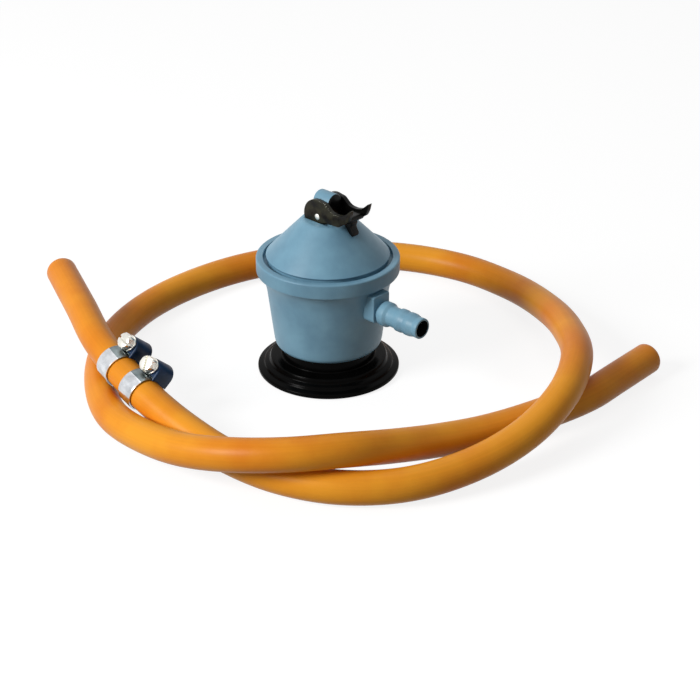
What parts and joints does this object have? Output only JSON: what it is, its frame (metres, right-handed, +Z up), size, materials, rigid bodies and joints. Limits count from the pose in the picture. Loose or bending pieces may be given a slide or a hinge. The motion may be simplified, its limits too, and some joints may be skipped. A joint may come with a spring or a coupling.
{
  "type": "gas regulator with hose",
  "caption": "Click-on low-pressure gas regulator with a folding on-off lever, ribbed hose nozzle and locking skirt, with a length of orange hose and worm-drive hose clamps.",
  "frame": {"origin": "on the regulator's valve axis at the socket's bottom face, where it stands", "axes": "+Z up along the valve axis, +X along the outlet nozzle"},
  "size_m": [0.2625, 0.2516, 0.0916],
  "materials": {
    "grey_blue_paint": "satin grey-blue powder coat over a die casting",
    "black_plastic": "black moulded plastic with a soft gloss",
    "black_enamel": "black enamel over pressed steel",
    "zinc_steel": "bright zinc-plated steel",
    "pale_pin": "pale zinc-plated rivet pin",
    "brass": "turned brass",
    "black_rubber": "black nitrile rubber",
    "orange_rubber": "smooth orange gas hose with a slight sheen",
    "navy_paint": "dark navy painted steel"
  },
  "bodies": {
    "regulator": {"body": "grey_blue_paint", "bonnet": "grey_blue_paint", "outlet_nozzle": "grey_blue_paint", "valve_socket": "zinc_steel", "socket_gasket": "black_rubber", "socket_screws": "zinc_steel", "inlet_seal": "black_rubber", "skirt_clip": "zinc_steel", "inlet_jet": "brass", "inlet_filter": "zinc_steel", "stem_oring": "black_rubber", "diaphragm": "black_rubber", "regulating_spring": "zinc_steel", "ring_spring": "zinc_steel", "stem_spring": "zinc_steel", "spring_adjuster": "zinc_steel", "valve_lever_pin": "zinc_steel", "hose": "orange_rubber"},
    "locking_ring": {"skirt_ring": "black_plastic"},
    "lock_ball_1": {"ball_1": "zinc_steel"},
    "lock_ball_2": {"ball_2": "zinc_steel"},
    "lock_ball_3": {"ball_3": "zinc_steel"},
    "lock_ball_4": {"ball_4": "zinc_steel"},
    "lock_ball_5": {"ball_5": "zinc_steel"},
    "lock_ball_6": {"ball_6": "zinc_steel"},
    "lever": {"lever": "black_enamel", "lever_pin": "pale_pin", "cam": "zinc_steel"},
    "stem": {"stem": "zinc_steel"},
    "diaphragm_set": {"diaphragm_plate": "zinc_steel", "diaphragm_hub": "brass", "diaphragm_nut": "zinc_steel", "hub_oring": "black_rubber"},
    "valve_lever": {"valve_lever": "zinc_steel", "valve_pad": "black_rubber"},
    "clamp_1": {"clamp_1_band": "zinc_steel", "clamp_1_housing": "navy_paint"},
    "clamp_1_screw": {"clamp_1_screw": "zinc_steel"},
    "clamp_2": {"clamp_2_band": "zinc_steel", "clamp_2_housing": "navy_paint"},
    "clamp_2_screw": {"clamp_2_screw": "zinc_steel"}
  },
  "joints": [
    {"name": "ring_lift", "type": "slide", "parent": "regulator", "child": "locking_ring", "axis": [0, 0, 1], "range_m": [0, 0.006], "stiffness_N_per_m": 600, "springref_m": -0.012, "deforming": ["ring_spring"]},
    {"name": "ball_1_out", "type": "slide", "parent": "regulator", "child": "lock_ball_1", "axis": [1, 0, 0], "range_m": [0, 0.0014]},
    {"name": "ball_2_out", "type": "slide", "parent": "regulator", "child": "lock_ball_2", "axis": [0.5, 0.866, 0], "range_m": [0, 0.0014]},
    {"name": "ball_3_out", "type": "slide", "parent": "regulator", "child": "lock_ball_3", "axis": [-0.5, 0.866, 0], "range_m": [0, 0.0014]},
    {"name": "ball_4_out", "type": "slide", "parent": "regulator", "child": "lock_ball_4", "axis": [-1, 0, 0], "range_m": [0, 0.0014]},
    {"name": "ball_5_out", "type": "slide", "parent": "regulator", "child": "lock_ball_5", "axis": [-0.5, -0.866, 0], "range_m": [0, 0.0014]},
    {"name": "ball_6_out", "type": "slide", "parent": "regulator", "child": "lock_ball_6", "axis": [0.5, -0.866, 0], "range_m": [0, 0.0014]},
    {"name": "lever_turn", "type": "hinge", "parent": "regulator", "child": "lever", "pos_m": [0, 0, 0.081], "axis": [0, -1, 0], "range_deg": [0, 90]},
    {"name": "stem_push", "type": "slide", "parent": "regulator", "child": "stem", "axis": [0, 0, -1], "range_m": [0, 0.003], "stiffness_N_per_m": 300, "springref_m": -0.008, "deforming": ["stem_spring"]},
    {"name": "diaphragm_move", "type": "slide", "parent": "regulator", "child": "diaphragm_set", "axis": [0, 0, 1], "range_m": [0, 0.0016], "stiffness_N_per_m": 1500, "springref_m": -0.004, "deforming": ["regulating_spring", "diaphragm"]},
    {"name": "valve_lever_turn", "type": "hinge", "parent": "regulator", "child": "valve_lever", "pos_m": [-0.012, 0, 0.0466], "axis": [0, -1, 0], "range_deg": [0, 7.64]},
    {"name": "clamp_1_slide", "type": "slide", "parent": "regulator", "child": "clamp_1", "axis": [0.9626, -0.206, -0.1757], "range_m": [-0.0015, 0.0015]},
    {"name": "clamp_1_screw_turn", "type": "hinge", "parent": "clamp_1", "child": "clamp_1_screw", "pos_m": [-0.03772, -0.08893, 0.03115], "axis": [0.0406, 0.7513, -0.6587], "continuous": true},
    {"name": "clamp_2_slide", "type": "slide", "parent": "regulator", "child": "clamp_2", "axis": [0.974, -0.1196, -0.1925], "range_m": [-0.0015, 0.0015]},
    {"name": "clamp_2_screw_turn", "type": "hinge", "parent": "clamp_2", "child": "clamp_2_screw", "pos_m": [-0.01936, -0.09188, 0.02755], "axis": [-0.0373, 0.7533, -0.6566], "continuous": true}
  ],
  "couplings": [
    {"joint": "ball_1_out", "follows": "ring_lift", "ratio": 0.23333},
    {"joint": "ball_2_out", "follows": "ring_lift", "ratio": 0.23333},
    {"joint": "ball_3_out", "follows": "ring_lift", "ratio": 0.23333},
    {"joint": "ball_4_out", "follows": "ring_lift", "ratio": 0.23333},
    {"joint": "ball_5_out", "follows": "ring_lift", "ratio": 0.23333},
    {"joint": "ball_6_out", "follows": "ring_lift", "ratio": 0.23333},
    {"joint": "lever_turn", "follows": "stem_push", "rad_per_m": 523.6},
    {"joint": "valve_lever_turn", "follows": "diaphragm_move", "rad_per_m": 83.333}
  ]
}
